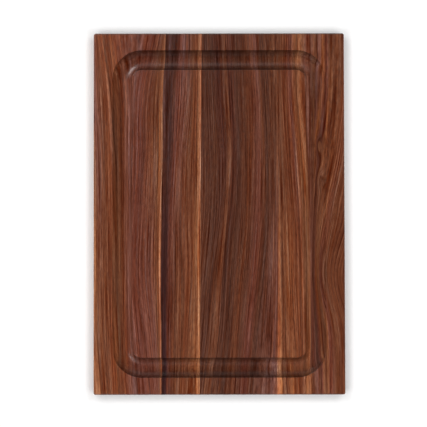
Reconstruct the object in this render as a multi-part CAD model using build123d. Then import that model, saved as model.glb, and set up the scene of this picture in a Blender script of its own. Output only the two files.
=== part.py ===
from build123d import *
import os

# Walnut cutting board with a juice groove: four staves edge-glued side by side.
#
# The panel is made as a joiner makes it. Staves are laid side by side with a film of glue in each seam,
# the panel is cut to size, a round-nose cutter runs the juice groove round the top face, and the outer
# edges are eased. Every stave and every film is then a solid of its own.
#
# Frame: millimetres, origin at the centre of the underside, +X across the grain, +Y along it, +Z up.

# ---------------------------------------------------------------------------- driving dimensions

board_length = 360.0             # along the grain
board_thickness = 25.0

# Each stave's width across the grain, halfway along the board, from -X to +X.
left_stave_width = 106.6
middle_stave_width = 77.3
narrow_stave_width = 34.9
right_stave_width = 30.9

# Each seam leans a little: how much further towards +X it lies at the +Y end than at the -Y end.
left_seam_lean = 2.4
middle_seam_lean = 3.6
right_seam_lean = 5.7

glue_thickness = 0.1             # cured film left in a clamped seam

groove_cutter_radius = 10.0      # round-nose cutter that makes the groove
groove_depth = 8.0               # top face to the groove's lowest line
groove_side_inset = 28.7         # long edge of the board to the groove's centre line
groove_end_inset = 26.9          # end of the board to the groove's centre line
groove_corner_radius = 19.5      # bend of the groove's centre line

corner_radius = 2.0              # upright corners of the board
arris_radius = 1.8               # every other outer edge

saw_allowance = 5.0              # how far cutting shapes run past the board, so that no faces coincide

# ---------------------------------------------------------------------------- the panel's make-up

STAVES = [
    ("left_stave", left_stave_width),
    ("middle_stave", middle_stave_width),
    ("narrow_stave", narrow_stave_width),
    ("right_stave", right_stave_width),
]

SEAMS = [
    ("left_glue_line", left_seam_lean),
    ("middle_glue_line", middle_seam_lean),
    ("right_glue_line", right_seam_lean),
]

board_width = sum(width for _, width in STAVES) + glue_thickness * len(SEAMS)


def eased_panel():
    """The board's outer shape, with rounded upright corners and eased edges round both faces."""
    panel = Box(board_width, board_length, board_thickness, align=(Align.CENTER, Align.CENTER, Align.MIN))
    panel = fillet(panel.edges().filter_by(Axis.Z), corner_radius)
    faces = panel.faces().sort_by(Axis.Z)
    return fillet(faces[0].edges() + faces[-1].edges(), arris_radius)


def groove_path():
    """Closed centre line of the groove: a rounded rectangle at the height of the cutter's ball centre."""
    run_width = board_width - 2 * groove_side_inset
    run_length = board_length - 2 * groove_end_inset
    ball_height = board_thickness - groove_depth + groove_cutter_radius
    outline = RectangleRounded(run_width, run_length, groove_corner_radius)
    return Pos(0, 0, ball_height) * outline.wire()


def cutter_outline(path):
    """Silhouette of the round-nose cutter, standing upright and square across the start of its path."""
    shank_height = groove_depth + saw_allowance
    nose = Circle(groove_cutter_radius)
    shank = Pos(0, shank_height / 2) * Rectangle(2 * groove_cutter_radius, shank_height)
    ahead = path % 0
    across = Plane(origin=path @ 0, x_dir=Vector(0, 0, 1).cross(ahead), z_dir=ahead)
    return across * (nose + shank)


def juice_groove():
    """Everything the cutter sweeps through as it goes once round the board."""
    path = groove_path()
    return sweep(cutter_outline(path), path=path)


def seam_face(x_halfway, lean):
    """Where a seam's face meets the lines of the board's two ends, as X at the -Y and at the +Y end."""
    return x_halfway - lean / 2, x_halfway + lean / 2


def strip(left_face, right_face):
    """The full-height strip of the panel between two seam faces, run on past both ends in line with them."""
    half = board_length / 2
    reach = (half + saw_allowance) / half

    def run_on(face):
        middle = (face[0] + face[1]) / 2
        swing = (face[1] - face[0]) / 2 * reach
        return (middle - swing, -half * reach), (middle + swing, half * reach)

    left_foot, left_head = run_on(left_face)
    right_foot, right_head = run_on(right_face)
    outline = make_face(Polyline(left_foot, right_foot, right_head, left_head, close=True))
    height = board_thickness + 2 * saw_allowance
    return Pos(0, 0, -saw_allowance) * extrude(outline, height, dir=(0, 0, 1))


def panel_strips():
    """Every stave and glue film by name, as the strip of the panel that it fills, from -X to +X."""
    strips = {}
    x = -board_width / 2
    left_face = seam_face(x - saw_allowance, 0)
    for index, (stave, width) in enumerate(STAVES):
        x += width
        if index == len(SEAMS):
            strips[stave] = strip(left_face, seam_face(x + saw_allowance, 0))
            break
        film, lean = SEAMS[index]
        glued_face = seam_face(x, lean)
        x += glue_thickness
        next_face = seam_face(x, lean)
        strips[stave] = strip(left_face, glued_face)
        strips[film] = strip(glued_face, next_face)
        left_face = next_face
    return strips


board = eased_panel() - juice_groove()

os.makedirs("parts", exist_ok=True)
for name, piece in panel_strips().items():
    export_step(board & piece, f"parts/{name}.step")
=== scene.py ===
"""Looks of a walnut cutting board with a juice groove.

Four walnut staves and the three glue films between them are cut from one panel, as a joiner makes them:
the panel is glued up, a round-nose cutter runs the groove, the edges are eased, the face is sanded and
oiled. Every stave carries its own growth rings, which run on from its top face over its edges.

Lengths named with MM are written in millimetres, and so is everything in the grain: rings, streaks and
pores. Everything else is in metres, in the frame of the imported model: +X across the grain, +Y along it,
+Z up, origin at the centre of the underside.
"""

import logging
import math
from dataclasses import dataclass
from enum import Enum
from typing import Sequence

import bmesh
import bpy
import numpy as np
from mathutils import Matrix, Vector


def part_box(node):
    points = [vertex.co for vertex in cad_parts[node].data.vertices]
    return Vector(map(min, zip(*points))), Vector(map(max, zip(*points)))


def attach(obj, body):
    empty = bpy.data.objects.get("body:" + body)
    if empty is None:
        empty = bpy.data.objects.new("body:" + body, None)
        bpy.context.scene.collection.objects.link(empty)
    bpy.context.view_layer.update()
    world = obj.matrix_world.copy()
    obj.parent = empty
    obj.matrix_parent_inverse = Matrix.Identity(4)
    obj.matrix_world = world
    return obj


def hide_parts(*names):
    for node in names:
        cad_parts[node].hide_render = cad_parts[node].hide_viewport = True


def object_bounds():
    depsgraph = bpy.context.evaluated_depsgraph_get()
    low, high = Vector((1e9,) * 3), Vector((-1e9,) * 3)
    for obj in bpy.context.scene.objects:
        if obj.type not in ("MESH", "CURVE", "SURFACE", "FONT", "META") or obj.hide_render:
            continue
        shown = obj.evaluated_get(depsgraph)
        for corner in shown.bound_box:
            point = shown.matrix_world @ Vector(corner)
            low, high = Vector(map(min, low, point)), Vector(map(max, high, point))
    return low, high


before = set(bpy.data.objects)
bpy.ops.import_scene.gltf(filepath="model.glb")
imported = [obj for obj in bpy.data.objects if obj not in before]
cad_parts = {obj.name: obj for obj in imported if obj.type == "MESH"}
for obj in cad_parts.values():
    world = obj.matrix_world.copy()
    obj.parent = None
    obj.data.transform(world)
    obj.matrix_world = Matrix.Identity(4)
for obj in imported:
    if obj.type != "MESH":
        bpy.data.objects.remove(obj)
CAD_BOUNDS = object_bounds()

LOG = logging.getLogger("cutting_board")
MM = 0.001
GLUE_LINES = ("left_glue_line", "middle_glue_line", "right_glue_line")
# Name of the vector attribute that carries each point's place in the grain.
GRAIN = "grain"
# How near to a saw cut a vertex counts as on it, and how near to each other two vertices are one.
SAW_TOLERANCE = 1e-7
WELD_REACH = 1e-6

Colour = tuple[float, float, float, float]
Socket = bpy.types.NodeSocket
Source = Socket | float | Sequence[float]


# ---------------------------------------------------------------------- small tools


def linear(hex_colour: str) -> Colour:
    """Turns an sRGB hex colour into linear RGBA.

    Args:
        hex_colour: the colour as "#rrggbb".

    Returns:
        The linear colour, with full alpha.
    """
    srgb = np.array([int(hex_colour[i : i + 2], 16) for i in (1, 3, 5)]) / 255
    value = np.where(srgb <= 0.04045, srgb / 12.92, ((srgb + 0.055) / 1.055) ** 2.4)
    return (*value.tolist(), 1.0)


def add_node(
    tree: bpy.types.NodeTree,
    kind: str,
    settings: dict[str, object] | None = None,
    inputs: dict[int | str, Source] | None = None,
    stops: Sequence[tuple[float, Colour]] = (),
    output: int | str = 0,
) -> Socket | None:
    """Adds one shader node with its settings, values and links.

    Args:
        tree: the node tree to add it to.
        kind: the node's type name.
        settings: properties of the node by name.
        inputs: by socket name or number, a socket to link from or a value to set.
        stops: for a colour ramp, its (position, colour) stops in order.
        output: which output to hand back.

    Returns:
        The chosen output socket, or None from a node that has no outputs.
    """
    node = tree.nodes.new(kind)
    for name, value in (settings or {}).items():
        setattr(node, name, value)
    for key, source in (inputs or {}).items():
        if isinstance(source, Socket):
            tree.links.new(source, node.inputs[key])
        else:
            node.inputs[key].default_value = source
    for index, (position, colour) in enumerate(stops):
        elements = node.color_ramp.elements
        stop = elements[index] if index < 2 else elements.new(position)
        stop.position = position
        stop.color = colour
    return node.outputs[output] if node.outputs else None


def smooth_through(stations: np.ndarray, values: np.ndarray, at: np.ndarray) -> np.ndarray:
    """Follows a smooth curve through evenly spaced values.

    Between two stations the curve is the cubic that meets both values with the slopes of their
    neighbours: value = h00 a + h10 slope_a + h01 b + h11 slope_b, with h the Hermite weights.

    Args:
        stations: evenly spaced places, rising.
        values: the value at each station.
        at: places to read the curve at. Past either end the end value holds.

    Returns:
        The curve's value at each place.
    """
    step = stations[1] - stations[0]
    run = np.clip((at - stations[0]) / step, 0, len(stations) - 1)
    index = np.minimum(run.astype(int), len(stations) - 2)
    t = run - index
    slopes = np.gradient(values)
    start = (2 * t**3 - 3 * t**2 + 1) * values[index] + (t**3 - 2 * t**2 + t) * slopes[index]
    end = (3 * t**2 - 2 * t**3) * values[index + 1] + (t**3 - t**2) * slopes[index + 1]
    return start + end


# ---------------------------------------------------------------------- the panel's shape


@dataclass(frozen=True)
class JuiceGroove:
    """Round-bottomed groove run once round the top face, with its lips sanded over.

    The insets are from the board's edges to the groove's centre line, and bend is the radius of that
    line in the corners.
    """

    cutter: float = 10 * MM
    depth: float = 8 * MM
    side_inset: float = 28.7 * MM
    end_inset: float = 26.9 * MM
    bend: float = 19.5 * MM
    lip: float = 0.5 * MM
    arc_steps: int = 20
    lip_steps: int = 4

    def profile(self) -> np.ndarray:
        """Works out the groove's section, from its inner lip to its outer lip.

        The cutter's circle stands with its centre cutter - depth above the face. A lip is an arc that
        meets the face and the circle without a corner: its centre lies one lip radius under the face
        and a cutter plus a lip radius away from the circle's centre.

        Returns:
            Rows of (distance outwards from the centre line, height above the face).
        """
        rise = self.cutter - self.depth
        reach = math.sqrt((self.cutter + self.lip) ** 2 - (rise + self.lip) ** 2)
        swing = math.atan2(reach, rise + self.lip)
        bowl = np.linspace(-swing, swing, self.arc_steps + 1)
        bowl_points = np.stack([self.cutter * np.sin(bowl), rise - self.cutter * np.cos(bowl)], 1)
        turn = np.linspace(0, swing, self.lip_steps + 1)[:-1]
        lip_points = np.stack([-reach + self.lip * np.sin(turn), self.lip * (np.cos(turn) - 1)], 1)
        far_lip = lip_points[::-1] * (-1, 1)
        return np.concatenate([lip_points, bowl_points, far_lip])


@dataclass(frozen=True)
class Compass:
    """Sampling of the way round the board, anticlockwise from above. Each row is one sample.

    root is the point that the groove's offsets are measured from, aim their direction, edge the
    point of the board's outline that goes with it, and out the outline's outward normal there.
    """

    root: np.ndarray
    aim: np.ndarray
    edge: np.ndarray
    out: np.ndarray


@dataclass(frozen=True)
class PanelShell:
    """The whole glued-up board as one closed surface: a section carried round the board.

    corner is the radius of the upright corners and arris that of every other outer edge. run_step is
    about how long a quad is along a side. The rings count the quads over the flat field, the margin and
    the wall, and the steps those round an arris or an upright corner and along half a groove corner.
    """

    width: float
    length: float
    thickness: float
    groove: JuiceGroove
    corner: float = 2.0 * MM
    arris: float = 1.8 * MM
    run_step: float = 1.6 * MM
    field_rings: int = 56
    margin_rings: int = 12
    wall_rings: int = 12
    arris_steps: int = 5
    corner_steps: int = 13

    def corner_outline(self, across: float, along: float) -> tuple[np.ndarray, np.ndarray]:
        """Follows the board's outline past one corner, from level with the hub to abreast of it.

        It runs straight at x = across, round an arc of the corner radius, x = across - corner +
        corner x cos and y = along - corner + corner x sin, and straight again at y = along.

        Args:
            across: distance from the hub to this side of the board.
            along: distance from the hub to the next side.

        Returns:
            Rows of (x, y) from the hub, and the angle that the outline faces at each.
        """
        rise = np.linspace(0, along - self.corner, self.corner_steps + 1)[:-1]
        turn = np.linspace(0, math.pi / 2, self.arris_steps + 1)
        fall = np.linspace(across - self.corner, 0, self.corner_steps + 1)[1:]
        arc_x = across - self.corner + self.corner * np.cos(turn)
        arc_y = along - self.corner + self.corner * np.sin(turn)
        x = np.concatenate([np.full_like(rise, across), arc_x, fall])
        y = np.concatenate([rise, arc_y, np.full_like(fall, along)])
        facing = np.concatenate([np.zeros_like(rise), turn, np.full_like(fall, math.pi / 2)])
        return np.stack([x, y], 1), facing

    def edge_section(self) -> tuple[np.ndarray, np.ndarray]:
        """Works out the board's edge from its top face to its underside: arris, wall, arris.

        An arris is a quarter circle, inset = arris x (1 - sin) and drop = arris x (1 - cos).

        Returns:
            The inset from the outline at each ring, and the height.
        """
        turn = np.linspace(0, math.pi / 2, self.arris_steps + 1)
        inset = (1 - np.sin(turn)) * self.arris
        drop = (1 - np.cos(turn)) * self.arris
        wall = np.linspace(self.thickness - self.arris, self.arris, self.wall_rings + 1)[1:-1]
        insets = np.concatenate([inset, np.zeros_like(wall), inset[::-1]])
        heights = np.concatenate([self.thickness - drop, wall, drop[::-1]])
        return insets, heights

    def compass(self) -> Compass:
        """Lays out the samples round the board: four straight runs and four corners.

        Along a side each sample looks straight out. In a corner it looks at its point of the outline
        from the hub, the centre of the groove's bend.

        Returns:
            The samples, in order.
        """
        half = np.array([self.width, self.length]) / 2
        centre = half - np.array([self.groove.side_inset, self.groove.end_inset]) - self.groove.bend
        ahead = np.array([(1, 0), (0, 1), (-1, 0), (0, -1)])
        roots, aims, edges, outs = [], [], [], []
        for side in range(4):
            first = ahead[side]
            second = ahead[(side + 1) % 4]
            hub = centre * (first + second)
            across = abs(first) @ (half - centre)
            along = abs(second) @ (half - centre)
            run = 2 * (abs(second) @ centre)
            count = round(run / self.run_step)
            back = np.linspace(-run, 0, count + 1)[1:-1, None]
            roots.append(hub + back * second)
            aims.append(np.repeat(first[None], count - 1, 0).astype(float))
            edges.append(hub + back * second + across * first)
            outs.append(aims[-1])
            outline, facing = self.corner_outline(across, along)
            offset = outline[:, :1] * first + outline[:, 1:] * second
            roots.append(np.repeat(hub[None], len(offset), 0))
            aims.append(offset / np.linalg.norm(offset, axis=1, keepdims=True))
            edges.append(hub + offset)
            outs.append(np.cos(facing)[:, None] * first + np.sin(facing)[:, None] * second)
        return Compass(*(np.concatenate(part) for part in (roots, aims, edges, outs)))

    @staticmethod
    def level(points: np.ndarray, height: np.ndarray) -> np.ndarray:
        """Gives each ring of plan points, (x, y), its own height."""
        heights = np.broadcast_to(height[:, None, None], (*points.shape[:2], 1))
        return np.concatenate([points, heights], 2)

    def rings(self) -> np.ndarray:
        """Works out the surface as rings round the board, from the middle of the top to the underside.

        Inside the groove a ring is the inner lip shrunk towards the board's centre. Across the groove
        it is root + distance x aim at the section's height. Over the margin it slides from the outer
        lip to the outline, and over the edge it is edge - inset x out.

        Returns:
            Array of ring, sample, (x, y, z).
        """
        way = self.compass()
        section = self.groove.profile()
        section[:, 0] += self.groove.bend
        groove = way.root + section[:, 0, None, None] * way.aim
        groove_height = self.thickness + section[:, 1]
        shrink = np.linspace(0, 1, self.field_rings + 1)[1:-1]
        field = shrink[:, None, None] * groove[0]
        inset, edge_height = self.edge_section()
        edge = way.edge - inset[:, None, None] * way.out
        slide = np.linspace(0, 1, self.margin_rings + 1)[1:-1, None, None]
        margin = groove[-1] + slide * (edge[0] - groove[-1])
        under = shrink[::-1, None, None] * edge[-1]
        top = np.full(len(field), self.thickness)
        rim = np.full(len(margin), self.thickness)
        return np.concatenate(
            [
                self.level(field, top),
                self.level(groove, groove_height),
                self.level(margin, rim),
                self.level(edge, edge_height),
                self.level(under, np.zeros(len(under))),
            ]
        )

    def mesh(self, name: str) -> bpy.types.Mesh:
        """Joins neighbouring rings with quads and closes both middles with a fan of triangles.

        Args:
            name: the new mesh's name.

        Returns:
            A closed mesh whose faces point outwards.
        """
        rings = self.rings()
        count, samples = rings.shape[:2]
        poles = np.array([(0, 0, self.thickness), (0, 0, 0)])
        points = np.concatenate([rings.reshape(-1, 3), poles])
        here = np.arange(count * samples).reshape(count, samples)
        onward = np.roll(here, -1, 1)
        quads = np.stack([here[:-1], here[1:], onward[1:], onward[:-1]], 2).reshape(-1, 4)
        top_pole = np.full(samples, count * samples)
        top_fan = np.stack([top_pole, here[0], onward[0]], 1)
        under_fan = np.stack([top_pole + 1, onward[-1], here[-1]], 1)
        mesh = bpy.data.meshes.new(name)
        mesh.from_pydata(points.tolist(), [], quads.tolist() + top_fan.tolist() + under_fan.tolist())
        return mesh


@dataclass(frozen=True)
class SeamFace:
    """Upright plane where the panel is parted, through its X at the -Y and at the +Y end."""

    foot: float
    head: float
    length: float

    def plane(self) -> tuple[Vector, Vector]:
        """Hands back a point of the plane and its normal towards +X."""
        normal = Vector((self.length, self.foot - self.head, 0)).normalized()
        return Vector((self.foot, -self.length / 2, 0)), normal


def cut_strip(
    panel: bpy.types.Mesh, name: str, left: SeamFace | None, right: SeamFace | None
) -> bpy.types.Mesh:
    """Cuts the strip between two seam faces out of the panel and closes its sawn faces.

    Args:
        panel: the whole board.
        name: the new mesh's name.
        left: the face on the -X side, or None where the board's own edge stays.
        right: the face on the +X side, or None likewise.

    Returns:
        A closed mesh, smooth but for the corners of its sawn faces.
    """
    crease = math.radians(50)
    sheet = bmesh.new()
    sheet.from_mesh(panel)
    for face, side in ((left, -1), (right, 1)):
        if face is None:
            continue
        point, normal = face.plane()
        everything = [*sheet.verts, *sheet.edges, *sheet.faces]
        cut = bmesh.ops.bisect_plane(
            sheet,
            geom=everything,
            dist=SAW_TOLERANCE,
            plane_co=point,
            plane_no=normal * side,
            clear_outer=True,
        )
        rim = [part for part in cut["geom_cut"] if isinstance(part, bmesh.types.BMEdge)]
        filled = bmesh.ops.edgenet_fill(sheet, edges=rim)["faces"]
        for cap in filled:
            cap.normal_update()
            if cap.normal.dot(normal) * side < 0:
                cap.normal_flip()
    bmesh.ops.remove_doubles(sheet, verts=sheet.verts, dist=WELD_REACH)
    mesh = bpy.data.meshes.new(name)
    sheet.to_mesh(mesh)
    sheet.free()
    mesh.polygons.foreach_set("use_smooth", np.ones(len(mesh.polygons), bool))
    mesh.set_sharp_from_angle(angle=crease)
    return mesh


# ---------------------------------------------------------------------- growth rings


@dataclass(frozen=True)
class Eye:
    """Small swirl where the rings close round an old bud.

    x and y are its middle, across and along how far it reaches, and push how far it moves a ring.
    """

    x: float
    y: float
    across: float
    along: float
    push: float


@dataclass(frozen=True)
class GrainFlow:
    """How the rings run through a stave, in millimetres.

    Each line follows one ring over the top face. It is given by its X at seven places along the
    board, from the +Y end to the -Y end, and named by its X halfway along. A slant is how far a ring
    leans towards +X for each millimetre that it rises, at the first and at the last line.
    """

    lines: tuple[tuple[float, ...], ...]
    slant_left: float
    slant_right: float
    eyes: tuple[Eye, ...] = ()

    def field(self, points: np.ndarray, length: float, thickness: float) -> np.ndarray:
        """Works out where each point lies in the grain.

        A point is first carried up to the top face along its ring, x + depth x slant. Its ring number
        is then found between the two lines either side of it: number = first + sum over the gaps of
        gap x share crossed. An eye adds push x exp(-r^2), r being the distance in its own reaches.

        Args:
            points: rows of (x, y, z), in millimetres.
            length: the board's length, in millimetres.
            thickness: the board's thickness, in millimetres.

        Returns:
            Rows of (ring, distance along the grain, height), in millimetres.
        """
        x, y, z = points.T
        stations = np.linspace(-length / 2, length / 2, len(self.lines[0]))
        lines = np.array(self.lines)[:, ::-1]
        names = lines[:, len(stations) // 2]
        share = np.clip((x - names[0]) / (names[-1] - names[0]), 0, 1)
        slant = self.slant_left + (self.slant_right - self.slant_left) * share
        surface_x = x + (thickness - z) * slant
        tracks = np.stack([smooth_through(stations, line, y) for line in lines])
        crossed = (surface_x - tracks[:-1]) / (tracks[1:] - tracks[:-1])
        crossed[0] = np.minimum(crossed[0], 1)
        crossed[-1] = np.maximum(crossed[-1], 0)
        crossed[1:-1] = np.clip(crossed[1:-1], 0, 1)
        ring = names[0] + np.diff(names) @ crossed
        for eye in self.eyes:
            apart = ((surface_x - eye.x) / eye.across) ** 2 + ((y - eye.y) / eye.along) ** 2
            ring += eye.push * np.exp(-apart)
        return np.stack([ring, y, z], 1)


# ---------------------------------------------------------------------- finishes


class Pigment(Enum):
    """Colours that black walnut takes under oil, from its darkest late wood to pale sapwood. TAN also
    serves as painted highlight along the left stave's -X edge.
    """

    NIGHT = "#2a1412"
    DUSK = "#381e18"
    COCOA = "#3a1c14"
    BARK = "#3e2218"
    CHESTNUT = "#422018"
    UMBER = "#482415"
    RUSSET = "#4c261c"
    SADDLE = "#502c1c"
    GINGER = "#542a18"
    ROSE = "#563228"
    CINNAMON = "#5c3420"
    AMBER = "#643a28"
    TAN = "#70442c"
    HONEY = "#825038"


# (ring in mm, pigment), from one side of a stave to the other.
Bands = tuple[tuple[float, Pigment], ...]


@dataclass(frozen=True)
class Streaks:
    """Pale and dark streaks that run with the grain, sized in millimetres.

    across and along are one streak's size on the face, and upright how deep it reaches into the wood.
    sharing is how much of the contrast red, green and blue take. A dark streak is redder and a pale one
    greyer, because the pigment takes away blue and green first. start sets one noise off from another.
    """

    across: float
    along: float
    contrast: float
    octaves: float = 1.0
    sharing: tuple[float, float, float] = (1.0, 1.6, 2.0)
    upright: float = 12.0
    start: float = 0.0

    def lay(self, tree: bpy.types.NodeTree, grain: Socket) -> Socket:
        """Adds the streaks as a tint: 1 + contrast x sharing x (noise - 1/2), channel by channel.

        Args:
            tree: the material's node tree.
            grain: the place in the grain, in millimetres.

        Returns:
            The tint to multiply a colour by.
        """
        size = (1 / self.across, 1 / self.along, 1 / self.upright)
        stretch = {0: grain, 1: size, 2: (self.start,) * 3}
        place = add_node(tree, "ShaderNodeVectorMath", {"operation": "MULTIPLY_ADD"}, stretch)
        texture = {"Vector": place, "Scale": 1.0, "Detail": self.octaves, "Roughness": 0.6}
        noise = add_node(tree, "ShaderNodeTexNoise", {}, texture)
        swing = tuple(self.contrast * share for share in self.sharing)
        spread = {0: noise, 1: swing, 2: tuple(1 - part / 2 for part in swing)}
        return add_node(tree, "ShaderNodeVectorMath", {"operation": "MULTIPLY_ADD"}, spread)


@dataclass(frozen=True)
class OiledWalnut:
    """Black walnut, planed, routed, sanded and oiled.

    The oil deepens the pigment bands and leaves a satin skin, through which the eye still sees growth
    rings as thin dark lines, and open pores as short dark dashes along the grain.

    far and near are the pigments at the +Y and at the -Y part of the stave, as (ring, pigment) from one
    side to the other, and they blend over band_reach either side of the middle. late_wood_rise is a
    ring's darkness, as (share of its width, darkness). fibre_exit is the slope of the surface to the
    grain where end grain starts to darken and where it is darkest. ring_depth, pore_shade and end_grain
    are the shares of light that they take away at most, and pore_dulling what a pore adds to the
    roughness. Sizes are in millimetres.
    """

    name: str
    far: Bands
    near: Bands
    band_reach: float = 110.0
    ring_width: float = 5.0
    ring_depth: float = 0.22
    late_wood_rise: tuple[tuple[float, float], ...] = ((0.0, 0.6), (0.16, 0.0), (0.55, 0.15), (0.95, 1.0))
    uneven_across: float = 6.0
    uneven_along: float = 300.0
    wander: float = 0.8
    wander_across: float = 9.0
    wander_along: float = 60.0
    streaks: tuple[Streaks, ...] = (
        Streaks(across=7.0, along=90.0, contrast=0.35, start=11.0),
        Streaks(across=1.7, along=160.0, contrast=0.9, start=23.0),
        Streaks(across=0.9, along=70.0, contrast=2.2, start=37.0),
        Streaks(across=0.7, along=9.0, contrast=1.0, upright=1.0, start=53.0),
        Streaks(across=1.5, along=110.0, contrast=0.7, sharing=(0.6, -0.3, -1.6), start=71.0),
    )
    pore_shade: float = 0.25
    # A real pore is 0.2 mm across. It is drawn twice as wide, so that it still shows.
    pore_width: float = 0.4
    pore_length: float = 3.0
    pore_depth: float = 0.1
    pore_dulling: float = 0.25
    pore_relief: float = 0.4
    end_grain: float = 0.55
    fibre_exit: tuple[float, float] = (0.25, 0.9)
    roughness: float = 0.34
    # Mineral oil, the usual finish of a board, has an IOR of about 1.46.
    oil_ior: float = 1.46

    def material(self) -> bpy.types.Material:
        """Builds the shader: pigment bands, darkened by rings, streaks, pores and end grain.

        Returns:
            The finished material.
        """
        material = bpy.data.materials.new(self.name)
        material.use_nodes = True
        tree = material.node_tree
        tree.nodes.clear()
        grain = add_node(tree, "ShaderNodeAttribute", {"attribute_name": GRAIN}, output="Vector")
        ring = self.ring(tree, grain)
        late_wood = self.late_wood(tree, grain, ring)
        pore = self.pores(tree, grain)
        multiply = {"operation": "MULTIPLY"}
        colour = self.pigment(tree, grain, ring)
        for tint in (streak.lay(tree, grain) for streak in self.streaks):
            colour = add_node(tree, "ShaderNodeVectorMath", multiply, {0: colour, 1: tint})
        multiply_add = {"operation": "MULTIPLY_ADD"}
        ring_shade = {0: late_wood, 1: -self.ring_depth, 2: 1.0}
        pore_shade = {0: pore, 1: -self.pore_shade, 2: 1.0}
        for shade in (
            add_node(tree, "ShaderNodeMath", multiply_add, ring_shade),
            add_node(tree, "ShaderNodeMath", multiply_add, pore_shade),
            self.end_shade(tree),
        ):
            scaling = {"operation": "SCALE"}
            colour = add_node(tree, "ShaderNodeVectorMath", scaling, {0: colour, "Scale": shade})
        height = add_node(tree, "ShaderNodeMath", multiply_add, {0: pore, 1: -1.0, 2: 1.0})
        relief = {"Strength": self.pore_relief, "Distance": self.pore_depth * MM, "Height": height}
        bump = add_node(tree, "ShaderNodeBump", {}, relief)
        dulling = {0: pore, 1: self.pore_dulling, 2: self.roughness}
        dull = add_node(tree, "ShaderNodeMath", multiply_add, dulling)
        skin = {"Base Color": colour, "Roughness": dull, "IOR": self.oil_ior, "Normal": bump}
        shader = add_node(tree, "ShaderNodeBsdfPrincipled", {}, skin)
        add_node(tree, "ShaderNodeOutputMaterial", {}, {"Surface": shader})
        return material

    def ring(self, tree: bpy.types.NodeTree, grain: Socket) -> Socket:
        """Lets the rings stray slowly from their guide lines: ring + wander x (2 x noise - 1).

        Args:
            tree: the material's node tree.
            grain: the place in the grain, in millimetres.

        Returns:
            The strayed ring coordinate, in millimetres.
        """
        size = (1 / self.wander_across, 1 / self.wander_along, 1 / self.wander_across)
        place = add_node(tree, "ShaderNodeVectorMath", {"operation": "MULTIPLY"}, {0: grain, 1: size})
        texture = {"Vector": place, "Scale": 1.0, "Detail": 2.0, "Roughness": 0.4}
        noise = add_node(tree, "ShaderNodeTexNoise", {}, texture)
        straight = add_node(tree, "ShaderNodeSeparateXYZ", {}, {0: grain}, output="X")
        stray = {0: noise, 1: 2 * self.wander, 2: straight}
        strayed = add_node(tree, "ShaderNodeMath", {"operation": "MULTIPLY_ADD"}, stray)
        return add_node(tree, "ShaderNodeMath", {"operation": "SUBTRACT"}, {0: strayed, 1: self.wander})

    def pigment(self, tree: bpy.types.NodeTree, grain: Socket, ring: Socket) -> Socket:
        """Lays the pigment bands along the rings. They change slowly from one end to the other.

        Args:
            tree: the material's node tree.
            grain: the place in the grain, in millimetres.
            ring: the ring coordinate, in millimetres.

        Returns:
            The wood's colour before rings, streaks and pores.
        """
        first = self.far[0][0]
        last = self.far[-1][0]
        span = {"Value": ring, "From Min": first, "From Max": last}
        place = add_node(tree, "ShaderNodeMapRange", {}, span)
        ends = []
        for bands in (self.near, self.far):
            stops = [((at - first) / (last - first), linear(pigment.value)) for at, pigment in bands]
            ends.append(add_node(tree, "ShaderNodeValToRGB", {}, {0: place}, stops))
        along = add_node(tree, "ShaderNodeSeparateXYZ", {}, {0: grain}, output="Y")
        reach = {"Value": along, "From Min": -self.band_reach, "From Max": self.band_reach}
        farness = add_node(tree, "ShaderNodeMapRange", {"interpolation_type": "SMOOTHSTEP"}, reach)
        # A colour mix takes its share at socket 0, its colours at 6 and 7, and gives its colour at 2.
        mixing = {0: farness, 6: ends[0], 7: ends[1]}
        return add_node(tree, "ShaderNodeMix", {"data_type": "RGBA"}, mixing, output=2)

    def late_wood(self, tree: bpy.types.NodeTree, grain: Socket, ring: Socket) -> Socket:
        """Adds the rings' late wood, from 0 in a ring's early wood to 1 at its last dark line.

        A ring darkens slowly and ends in a thin line. No two rings are as wide or as strong: the whole
        part of ring / ring width + noise seeds a ring's strength, and the rest is the share crossed.

        Args:
            tree: the material's node tree.
            grain: the place in the grain, in millimetres.
            ring: the ring coordinate, in millimetres.

        Returns:
            The darkness, from 0 to 1.
        """
        size = (1 / self.uneven_across, 1 / self.uneven_along, 1 / self.uneven_across)
        place = add_node(tree, "ShaderNodeVectorMath", {"operation": "MULTIPLY"}, {0: grain, 1: size})
        texture = {"Vector": place, "Scale": 1.0, "Detail": 1.0}
        uneven = add_node(tree, "ShaderNodeTexNoise", {}, texture)
        count = {0: ring, 1: 1 / self.ring_width, 2: uneven}
        number = add_node(tree, "ShaderNodeMath", {"operation": "MULTIPLY_ADD"}, count)
        whole = add_node(tree, "ShaderNodeMath", {"operation": "FLOOR"}, {0: number})
        strength = add_node(tree, "ShaderNodeTexWhiteNoise", {"noise_dimensions": "1D"}, {"W": whole})
        growth = add_node(tree, "ShaderNodeMath", {"operation": "FRACT"}, {0: number})
        stops = [(share, (darkness, darkness, darkness, 1.0)) for share, darkness in self.late_wood_rise]
        line = add_node(tree, "ShaderNodeValToRGB", {}, {0: growth}, stops)
        return add_node(tree, "ShaderNodeMath", {"operation": "MULTIPLY"}, {0: line, 1: strength})

    def pores(self, tree: bpy.types.NodeTree, grain: Socket) -> Socket:
        """Adds the open pores, each a dash along the grain in a cell of twice its size.

        Args:
            tree: the material's node tree.
            grain: the place in the grain, in millimetres.

        Returns:
            1 in a pore's core, falling to 0 at its rim and between the pores.
        """
        core = 0.2
        rim = 0.45
        size = (0.5 / self.pore_width, 0.5 / self.pore_length, 0.5 / self.pore_width)
        place = add_node(tree, "ShaderNodeVectorMath", {"operation": "MULTIPLY"}, {0: grain, 1: size})
        cells = {"Vector": place, "Scale": 1.0}
        distance = add_node(tree, "ShaderNodeTexVoronoi", {"feature": "F1"}, cells, output="Distance")
        edge = {"Value": distance, "From Min": rim, "From Max": core}
        return add_node(tree, "ShaderNodeMapRange", {"interpolation_type": "SMOOTHSTEP"}, edge)

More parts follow.
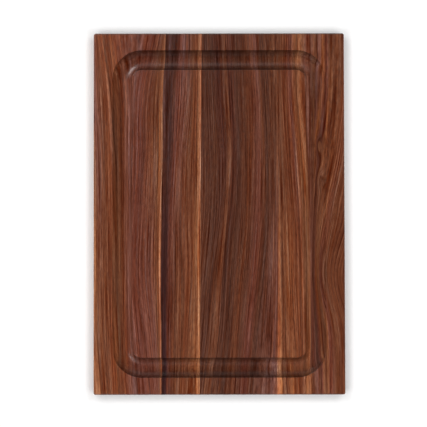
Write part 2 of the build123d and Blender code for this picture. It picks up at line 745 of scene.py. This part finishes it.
    def end_shade(self, tree: bpy.types.NodeTree) -> Socket:
        """Darkens the wood where its fibres run into the surface, since it drinks more oil there.

        Args:
            tree: the material's node tree.

        Returns:
            The shade to scale a colour by, from 1 on the face to 1 - end_grain on the sawn ends.
        """
        normal = add_node(tree, "ShaderNodeTexCoord", output="Normal")
        facing = add_node(tree, "ShaderNodeSeparateXYZ", {}, {0: normal}, output="Y")
        steep = add_node(tree, "ShaderNodeMath", {"operation": "ABSOLUTE"}, {0: facing})
        reach = {"Value": steep, "From Min": self.fibre_exit[0], "From Max": self.fibre_exit[1]}
        shade = {"To Min": 1.0, "To Max": 1 - self.end_grain}
        return add_node(tree, "ShaderNodeMapRange", {}, reach | shade)


@dataclass(frozen=True)
class CuredGlue:
    """Yellow wood glue, clamped, cured and sanded flush. A dull amber-brown hairline."""

    name: str = "cured_wood_glue"
    colour: str = "#3c2418"
    blotch: float = 6 * MM
    blotch_shade: float = 0.6
    blotch_edge: tuple[float, float] = (0.3, 0.7)
    roughness: float = 0.6
    ior: float = 1.48

    def material(self) -> bpy.types.Material:
        """Builds the shader, a little blotchy where the wood drank more of the glue.

        Returns:
            The finished material.
        """
        material = bpy.data.materials.new(self.name)
        material.use_nodes = True
        tree = material.node_tree
        tree.nodes.clear()
        place = add_node(tree, "ShaderNodeTexCoord", output="Object")
        texture = {"Vector": place, "Scale": 1 / self.blotch, "Detail": 2.0}
        blotches = add_node(tree, "ShaderNodeTexNoise", {}, texture)
        full = linear(self.colour)
        dark = tuple(self.blotch_shade * part for part in full[:3]) + (1.0,)
        stops = list(zip(self.blotch_edge, (dark, full)))
        tone = add_node(tree, "ShaderNodeValToRGB", {}, {0: blotches}, stops)
        skin = {"Base Color": tone, "Roughness": self.roughness, "IOR": self.ior}
        shader = add_node(tree, "ShaderNodeBsdfPrincipled", {}, skin)
        add_node(tree, "ShaderNodeOutputMaterial", {}, {"Surface": shader})
        return material


@dataclass(frozen=True)
class PaperSweep:
    """Matt white background paper under the board. It looks an even white and mirrors next to nothing."""

    name: str = "background_paper"
    colour: str = "#fefefe"
    roughness: float = 0.95
    specular: float = 0.1

    def material(self) -> bpy.types.Material:
        """Builds the shader.

        Returns:
            The finished material.
        """
        material = bpy.data.materials.new(self.name)
        material.use_nodes = True
        tree = material.node_tree
        tree.nodes.clear()
        skin = {
            "Base Color": linear(self.colour),
            "Roughness": self.roughness,
            "Specular IOR Level": self.specular,
        }
        shader = add_node(tree, "ShaderNodeBsdfPrincipled", {}, skin)
        add_node(tree, "ShaderNodeOutputMaterial", {}, {"Surface": shader})
        return material


# ---------------------------------------------------------------------- the four staves
#
# The lines and bands of each stave are laid out one by one, most to the nearest half millimetre.

LEFT_FLOW = GrainFlow(
    lines=(
        (-126.5, -125, -122, -121, -120.5, -120, -116),
        (-117.5, -109, -105.5, -104.5, -104, -102, -99.5),
        (-99.5, -93.5, -93, -92.5, -92, -91.5, -88),
        (-69, -79.5, -81.5, -85, -87.5, -82.5, -77),
        (-57, -68, -70, -72.5, -74, -68, -62),
        (-53, -55.5, -56, -57, -57.5, -57.5, -57.5),
        (-39.5, -43, -46, -49, -50.5, -51.5, -52),
        (-28, -29, -34.5, -37, -35.5, -36, -38.5),
        (-22.2, -22.6, -23.8, -25.5, -25.7, -29.7, -32),
        (-20.6, -20.8, -21.8, -23.2, -23.7, -23.7, -23.7),
        (-16, -16.5, -17, -17.5, -18, -17.5, -16.5),
    ),
    slant_left=-0.3,
    slant_right=0.1,
)

MIDDLE_FLOW = GrainFlow(
    lines=(
        (-17.5, -17.3, -17.3, -18, -22.5, -28, -33),
        (-5, -1.5, 2, 0.5, -6, -11.5, -18),
        (10, 12, 14.5, 10.5, 5, 1, -7),
        (21, 21.5, 23, 22.5, 17, 12.5, 7),
        (32, 35.5, 36.5, 34.5, 30, 23.5, 19.5),
        (42, 44.5, 47, 46.5, 41.5, 35.5, 30),
        (49, 51.5, 53, 52.5, 51, 47.5, 42.5),
        (61.5, 61, 60.5, 59.5, 58.5, 58, 57.5),
    ),
    slant_left=0.0,
    slant_right=0.15,
)

NARROW_FLOW = GrainFlow(
    lines=(
        (59, 58.5, 58.5, 58.2, 58, 58, 57.5),
        (62.5, 62.5, 66, 70.5, 73, 76, 79.5),
        (75, 75, 79, 82.5, 84, 84.5, 84),
        (79.5, 80.5, 84, 88, 90, 91, 91.5),
        (96.5, 96, 95, 94, 93, 92.5, 91.6),
    ),
    slant_left=0.1,
    slant_right=0.15,
)

RIGHT_FLOW = GrainFlow(
    lines=(
        (92, 92, 89, 88, 88, 89, 91),
        (102, 101, 96.5, 94.5, 94, 96, 98.5),
        (122, 121, 114, 102.5, 99.5, 104.5, 105.5),
        (132, 131, 125, 112.5, 104.5, 113.5, 114.5),
        (140, 138, 132, 122.5, 110.5, 121.5, 123.5),
    ),
    slant_left=0.2,
    slant_right=0.35,
    eyes=(
        Eye(x=101.5, y=68, across=2.2, along=9, push=2.2),
        Eye(x=102.5, y=33, across=2.2, along=9, push=2.2),
    ),
)

LEFT_WALNUT = OiledWalnut(
    name="left_stave_oiled_walnut",
    far=(
        # Painted highlight: the TAN strip along the board's -X edge widens the bright line that the left
        # lights put on the arris.
        (-123.6, Pigment.TAN),
        (-121.5, Pigment.ROSE),
        (-113, Pigment.SADDLE),
        (-107.5, Pigment.GINGER),
        (-105.6, Pigment.AMBER),
        (-104, Pigment.SADDLE),
        (-98, Pigment.GINGER),
        (-91, Pigment.ROSE),
        (-83, Pigment.RUSSET),
        (-66, Pigment.SADDLE),
        (-59.6, Pigment.CINNAMON),
        (-58.6, Pigment.TAN),
        (-57.8, Pigment.TAN),
        (-57.2, Pigment.DUSK),
        (-49.6, Pigment.DUSK),
        (-48.4, Pigment.RUSSET),
        (-42, Pigment.ROSE),
        (-33, Pigment.SADDLE),
        (-26, Pigment.GINGER),
        (-23.4, Pigment.SADDLE),
        (-22.4, Pigment.TAN),
        (-19.5, Pigment.HONEY),
        (-17.5, Pigment.CINNAMON),
    ),
    near=(
        # Painted highlight, as in the far bands: the TAN strip along the -X edge stands in for the lit
        # arris.
        (-123.6, Pigment.TAN),
        (-121.5, Pigment.SADDLE),
        (-113, Pigment.SADDLE),
        (-108, Pigment.GINGER),
        (-105.5, Pigment.CINNAMON),
        (-104, Pigment.SADDLE),
        (-98, Pigment.GINGER),
        (-91, Pigment.ROSE),
        (-83, Pigment.RUSSET),
        (-66, Pigment.ROSE),
        (-60, Pigment.CINNAMON),
        (-58.8, Pigment.HONEY),
        (-57.8, Pigment.HONEY),
        (-57.2, Pigment.NIGHT),
        (-51.5, Pigment.NIGHT),
        (-50, Pigment.CHESTNUT),
        (-42, Pigment.SADDLE),
        (-33, Pigment.GINGER),
        (-27, Pigment.SADDLE),
        (-24.5, Pigment.CINNAMON),
        (-22.5, Pigment.TAN),
        (-17.5, Pigment.TAN),
    ),
    ring_depth=0.36,
)

MIDDLE_WALNUT = OiledWalnut(
    name="middle_stave_oiled_dark_walnut",
    far=(
        (-18, Pigment.BARK),
        (-4, Pigment.BARK),
        (3, Pigment.COCOA),
        (7.5, Pigment.SADDLE),
        (9.5, Pigment.COCOA),
        (19, Pigment.BARK),
        (30, Pigment.UMBER),
        (39.5, Pigment.ROSE),
        (42, Pigment.UMBER),
        (47, Pigment.BARK),
        (60, Pigment.SADDLE),
    ),
    near=(
        (-18, Pigment.UMBER),
        (-8, Pigment.BARK),
        (0, Pigment.BARK),
        (7, Pigment.SADDLE),
        (9.5, Pigment.BARK),
        (20, Pigment.BARK),
        (27, Pigment.UMBER),
        (32, Pigment.BARK),
        (40, Pigment.RUSSET),
        (46, Pigment.BARK),
        (60, Pigment.ROSE),
    ),
    ring_width=7.5,
)

NARROW_WALNUT = OiledWalnut(
    name="narrow_stave_oiled_orange_walnut",
    far=(
        (58, Pigment.SADDLE),
        (66, Pigment.SADDLE),
        (74, Pigment.GINGER),
        (79.5, Pigment.RUSSET),
        (81, Pigment.AMBER),
        (83.5, Pigment.CINNAMON),
        (85, Pigment.CINNAMON),
        (88.5, Pigment.TAN),
        (91, Pigment.ROSE),
        (94, Pigment.SADDLE),
    ),
    near=(
        (58, Pigment.HONEY),
        (60.3, Pigment.TAN),
        (61.5, Pigment.SADDLE),
        (66, Pigment.CINNAMON),
        (74, Pigment.GINGER),
        (79.5, Pigment.SADDLE),
        (80.7, Pigment.AMBER),
        (83, Pigment.CINNAMON),
        (84.5, Pigment.CINNAMON),
        (89, Pigment.TAN),
        (94, Pigment.ROSE),
    ),
    ring_width=5.5,
    ring_depth=0.3,
)

RIGHT_WALNUT = OiledWalnut(
    name="right_stave_oiled_figured_walnut",
    far=(
        (90, Pigment.SADDLE),
        (94, Pigment.ROSE),
        (95.5, Pigment.CINNAMON),
        (97, Pigment.RUSSET),
        (98.3, Pigment.CINNAMON),
        (99.5, Pigment.UMBER),
        (101, Pigment.SADDLE),
        (105, Pigment.GINGER),
        (113, Pigment.SADDLE),
        (122.5, Pigment.SADDLE),
    ),
    near=(
        (90, Pigment.SADDLE),
        (94, Pigment.ROSE),
        (97, Pigment.BARK),
        (99, Pigment.RUSSET),
        (101, Pigment.CINNAMON),
        (103, Pigment.SADDLE),
        (105.5, Pigment.CINNAMON),
        (108, Pigment.RUSSET),
        (114, Pigment.SADDLE),
        (122.5, Pigment.UMBER),
    ),
    ring_width=6.0,
)


# ---------------------------------------------------------------------- the board


@dataclass(frozen=True)
class Stave:
    """One walnut stave, between two seam faces."""

    node: str
    slot: str
    flow: GrainFlow
    finish: OiledWalnut
    left: SeamFace | None
    right: SeamFace | None

    def build(self, panel: bpy.types.Mesh, size: Vector) -> bpy.types.Object:
        """Cuts the stave out of the panel, lays its growth rings into it and dresses it.

        Args:
            panel: the whole board.
            size: the board's width, length and thickness, in metres.

        Returns:
            The finished piece.
        """
        mesh = cut_strip(panel, self.node, self.left, self.right)
        points = np.empty(len(mesh.vertices) * 3)
        mesh.vertices.foreach_get("co", points)
        grain = self.flow.field(points.reshape(-1, 3) / MM, size.y / MM, size.z / MM)
        layer = mesh.attributes.new(GRAIN, "FLOAT_VECTOR", "POINT")
        layer.data.foreach_set("vector", grain.ravel())
        mesh.materials.append(self.finish.material())
        return place(mesh, self.node, self.slot)


@dataclass(frozen=True)
class GlueLine:
    """One film of cured glue in a seam."""

    node: str
    slot: str
    finish: CuredGlue
    left: SeamFace
    right: SeamFace

    def build(self, panel: bpy.types.Mesh) -> bpy.types.Object:
        """Cuts the film's strip out of the panel and dresses it.

        Args:
            panel: the whole board.

        Returns:
            The finished piece.
        """
        mesh = cut_strip(panel, self.node, self.left, self.right)
        mesh.materials.append(self.finish.material())
        return place(mesh, self.node, self.slot)


def place(mesh: bpy.types.Mesh, node: str, slot: str) -> bpy.types.Object:
    """Puts a mesh into the scene in place of its CAD node.

    Args:
        mesh: the finished mesh.
        node: the CAD node that it stands for.
        slot: the record's material slot. It is not used.

    Returns:
        The new object.
    """
    piece = bpy.data.objects.new(f"{node}_body", mesh)
    bpy.context.scene.collection.objects.link(piece)
    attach(piece, "root")
    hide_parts(node)
    return piece


@dataclass(frozen=True)
class CuttingBoard:
    """The whole board: four staves and three glue lines, between its lowest and highest corners.

    film is the thickness of a glue line.
    """

    low: Vector
    high: Vector
    film: float = 0.1 * MM

    def seam(self, node: str) -> tuple[SeamFace, SeamFace]:
        """Reads a glue film's two faces from its CAD node's box.

        The film leans towards +X at the +Y end, so its box runs from its left face's foot to its
        right face's head.

        Args:
            node: the film's CAD node.

        Returns:
            Its left and its right face.
        """
        low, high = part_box(node)
        length = self.high.y - self.low.y
        left = SeamFace(low.x, high.x - self.film, length)
        right = SeamFace(low.x + self.film, high.x, length)
        return left, right

    def build(self) -> list[bpy.types.Object]:
        """Builds the panel's shell and cuts every piece out of it.

        Returns:
            The staves from -X to +X, then the glue films likewise.
        """
        size = self.high - self.low
        panel = PanelShell(size.x, size.y, size.z, JuiceGroove()).mesh("panel")
        seams = {node: self.seam(node) for node in GLUE_LINES}
        first, second, third = seams.values()
        glue = CuredGlue()
        staves = [
            Stave("left_stave", "left_stave_walnut", LEFT_FLOW, LEFT_WALNUT, None, first[0]),
            Stave("middle_stave", "middle_stave_walnut", MIDDLE_FLOW, MIDDLE_WALNUT, first[1], second[0]),
            Stave("narrow_stave", "narrow_stave_walnut", NARROW_FLOW, NARROW_WALNUT, second[1], third[0]),
            Stave("right_stave", "right_stave_walnut", RIGHT_FLOW, RIGHT_WALNUT, third[1], None),
        ]
        films = [GlueLine(node, "wood_glue", glue, *faces) for node, faces in seams.items()]
        pieces = [stave.build(panel, size) for stave in staves]
        pieces += [film.build(panel) for film in films]
        bpy.data.meshes.remove(panel)
        return pieces


# ---------------------------------------------------------------------- the studio


@dataclass(frozen=True)
class Softbox:
    """Rectangular studio light that looks at the middle of the board.

    power is in watts. shows says whether surfaces mirror it, and flagged whether black flags keep it
    off the paper.
    """

    name: str
    place: tuple[float, float, float]
    size: tuple[float, float]
    power: float
    shows: bool = True
    flagged: bool = False

    def hang(self, paper: bpy.types.Object) -> None:
        """Adds the light to the scene.

        Args:
            paper: the floor, which a flagged light doesn't reach.
        """
        light = bpy.data.lights.new(self.name, "AREA")
        light.shape = "RECTANGLE"
        light.size, light.size_y = self.size
        light.energy = self.power
        lamp = bpy.data.objects.new(self.name, light)
        lamp.location = self.place
        lamp.rotation_euler = (-lamp.location).to_track_quat("-Z", "Y").to_euler()
        lamp.visible_glossy = self.shows
        # Rays that leave a satin skin needn't look for a light that it doesn't mirror.
        light.cycles.use_multiple_importance_sampling = self.shows
        bpy.context.scene.collection.objects.link(lamp)
        if self.flagged:
            flags = bpy.data.collections.new(f"{self.name}_flags")
            flags.objects.link(paper)
            lamp.light_linking.receiver_collection = flags
            flags.collection_objects[0].light_linking.link_state = "EXCLUDE"


@dataclass(frozen=True)
class Studio:
    """White paper floor, soft lights and a camera almost straight above the board.

    The camera's tilt and roll are in degrees. view_width and view_centre are what it sees of the plane
    of the board's top face.
    """

    paper_reach: float = 6.0
    camera_reach: float = 1.5
    camera_tilt: float = 1.85
    camera_roll: float = -0.1
    view_width: float = 0.4248
    view_centre: tuple[float, float] = (-5.7 * MM, -0.15 * MM)
    dome: float = 0.12

    def floor(self) -> bpy.types.Object:
        """Lays the paper, a sheet far wider than the board.

        Returns:
            The paper.
        """
        half = self.paper_reach
        corners = [(-half, -half, 0), (half, -half, 0), (half, half, 0), (-half, half, 0)]
        mesh = bpy.data.meshes.new("paper_floor")
        mesh.from_pydata(corners, [], [(0, 1, 2, 3)])
        mesh.materials.append(PaperSweep().material())
        floor = bpy.data.objects.new("paper_floor", mesh)
        bpy.context.scene.collection.objects.link(floor)
        return floor

    def lights(self, paper: bpy.types.Object) -> None:
        """Hangs the softboxes and the dim white dome.

        Args:
            paper: the floor.
        """
        lights = (
            Softbox("far_left_overhead", (-0.35, 0.3, 1.45), (0.52, 0.52), 5.8, shows=False),
            Softbox("far_right_overhead", (0.35, 0.3, 1.45), (0.52, 0.52), 5.8, shows=False),
            Softbox("near_left_overhead", (-0.35, -0.3, 1.45), (0.52, 0.52), 6.6, shows=False),
            Softbox("near_right_overhead", (0.35, -0.3, 1.45), (0.52, 0.52), 6.6, shows=False),
            Softbox("left_softbox", (-0.38, 0.0, 0.2), (0.6, 0.2), 1.15, shows=False, flagged=True),
            Softbox("far_left_softbox", (-0.3, 0.36, 0.2), (0.2, 0.1), 1.15, flagged=True),
            Softbox("near_left_softbox", (-0.3, -0.36, 0.2), (0.15, 0.1), 0.4, flagged=True),
            Softbox("far_softbox", (0.1, 0.42, 0.3), (0.5, 0.2), 0.3, flagged=True),
            Softbox("near_card", (0.05, -0.44, 0.3), (0.5, 0.2), 0.12, flagged=True),
            Softbox("near_softbox", (0.05, -0.4, 0.2), (0.5, 0.2), 1.3, shows=False, flagged=True),
            Softbox("right_softbox", (0.36, 0.0, 0.2), (0.6, 0.2), 1.0, shows=False, flagged=True),
        )
        for light in lights:
            light.hang(paper)
        world = bpy.data.worlds.new("white_dome")
        world.use_nodes = True
        sky = world.node_tree.nodes["Background"]
        sky.inputs["Color"].default_value = (1.0, 1.0, 1.0, 1.0)
        sky.inputs["Strength"].default_value = self.dome
        bpy.context.scene.world = world
        world.cycles_visibility.glossy = False

    def camera(self, face_height: float) -> None:
        """Stands the camera over the board.

        Args:
            face_height: height of the board's top face, which the view is measured on.
        """
        lens = bpy.data.cameras.new("camera")
        lens.lens = lens.sensor_width * self.camera_reach / self.view_width
        camera = bpy.data.objects.new("camera", lens)
        tilt = math.radians(self.camera_tilt)
        look = Vector((*self.view_centre, face_height))
        camera.location = look + self.camera_reach * Vector((0, -math.sin(tilt), math.cos(tilt)))
        camera.rotation_euler = (tilt, 0, math.radians(self.camera_roll))
        bpy.context.scene.collection.objects.link(camera)
        bpy.context.scene.camera = camera
        bpy.context.scene.view_settings.view_transform = "Standard"


def main() -> None:
    """Builds the board and the studio."""
    logging.basicConfig(level=logging.INFO, format="%(name)s: %(message)s")
    low, high = (Vector(corner) for corner in CAD_BOUNDS)
    for piece in CuttingBoard(low, high).build():
        LOG.info("%s: %d faces", piece.name, len(piece.data.polygons))
    studio = Studio()
    studio.lights(studio.floor())
    studio.camera(high.z)


if __name__ == "__main__":
    main()
